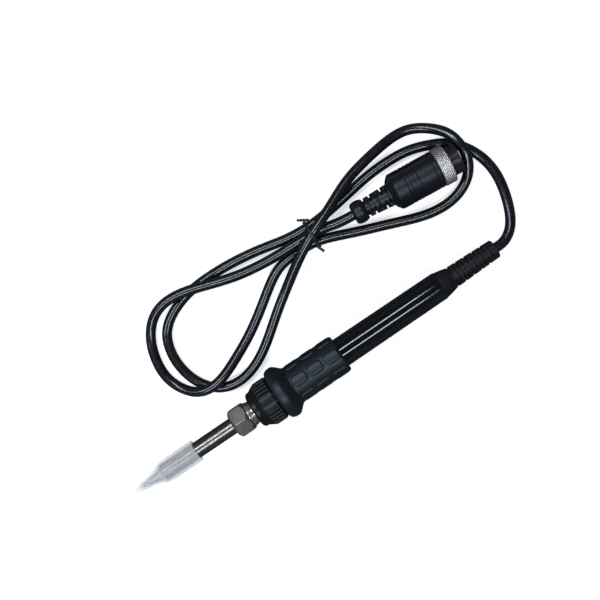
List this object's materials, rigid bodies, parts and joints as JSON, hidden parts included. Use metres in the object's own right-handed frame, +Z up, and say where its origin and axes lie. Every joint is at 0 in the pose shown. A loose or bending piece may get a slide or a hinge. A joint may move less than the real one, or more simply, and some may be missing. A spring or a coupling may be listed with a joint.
{
  "type": "soldering iron",
  "caption": "Soldering station handpiece with a capped tip, rubber grip, hanked cord and round screw-ring plug.",
  "frame": {"origin": "bottom centre of the handpiece's bounding box, on the surface it lies on", "axes": "+X from the tip end to the cord end, +Z up, the hanked cord and plug lie on the +Y side"},
  "size_m": [0.2191, 0.0833, 0.0255],
  "materials": {
    "clear_vinyl": "clear flexible vinyl, faintly blue and milky",
    "plated_tip": "iron-plated copper, satin, tinned at the point",
    "stainless": "polished drawn stainless tube",
    "nut_steel": "dull turned steel",
    "bright_steel": "bright plated steel with a turned thread",
    "collar_plastic": "black heat-resistant moulding with ribs",
    "tube_plastic": "glossy black moulding",
    "grip_rubber": "matt slate-black silicone rubber",
    "relief_rubber": "matt black rubber",
    "alumina": "white sintered ceramic",
    "tinned_wire": "tinned wire",
    "spring_steel": "bright spring steel",
    "board_laminate": "green glass laminate",
    "pin_brass": "gilt brass",
    "wire_insulation": "coloured wire insulation",
    "clamp_nylon": "natural nylon",
    "cord_pvc": "smooth glossy black vinyl sheath",
    "tie_pvc": "black coated wire tie",
    "plug_rubber": "matt black overmoulding",
    "shell_black": "black shell",
    "insert_bakelite": "dark moulded insulator",
    "ring_aluminium": "pale knurled aluminium"
  },
  "bodies": {
    "handle": {"handle_tube": "tube_plastic", "grip_sleeve": "grip_rubber", "strain_relief": "relief_rubber", "cord_clamp": "clamp_nylon", "heating_element": "alumina", "heater_base": "alumina", "heater_leads": "tinned_wire", "ground_clip": "spring_steel", "terminal_board": "board_laminate", "terminal_pins": "pin_brass", "inner_conductors": "wire_insulation", "cord": "cord_pvc", "twist_tie": "tie_pvc", "plug_housing": "plug_rubber", "plug_shell": "shell_black", "plug_insert": "insert_bakelite", "plug_contacts": "pin_brass"},
    "nipple": {"threaded_nipple": "bright_steel"},
    "collar": {"front_collar": "collar_plastic"},
    "barrel": {"tip_enclosure": "stainless", "soldering_tip": "plated_tip"},
    "nut": {"retaining_nut": "nut_steel"},
    "cap": {"protective_cap": "clear_vinyl"},
    "ring": {"coupling_ring": "ring_aluminium"}
  },
  "joints": [
    {"name": "nipple_travel", "type": "slide", "parent": "handle", "child": "nipple", "axis": [-0.9975, 0, 0.0705], "range_m": [0, 0.006]},
    {"name": "collar_turn", "type": "hinge", "parent": "nipple", "child": "collar", "pos_m": [-0.02884, 0, 0.01356], "axis": [-0.9975, 0, 0.0705], "range_deg": [0, 1440]},
    {"name": "barrel_travel", "type": "slide", "parent": "nipple", "child": "barrel", "axis": [-0.9975, 0, 0.0705], "range_m": [0, 0.006]},
    {"name": "nut_turn", "type": "hinge", "parent": "barrel", "child": "nut", "pos_m": [-0.04081, 0, 0.01441], "axis": [-0.9975, 0, 0.0705], "range_deg": [0, 2160]},
    {"name": "cap_pull", "type": "slide", "parent": "barrel", "child": "cap", "axis": [-0.9975, 0, 0.0705], "range_m": [0, 0.045]},
    {"name": "ring_turn", "type": "hinge", "parent": "handle", "child": "ring", "pos_m": [0.09929, 0.0443, 0.009], "axis": [0.9954, -0.0958, 0], "continuous": true}
  ],
  "couplings": [
    {"joint": "nipple_travel", "follows": "collar_turn", "m_per_rad": 0.00023873},
    {"joint": "barrel_travel", "follows": "nut_turn", "m_per_rad": 0.00015915}
  ]
}
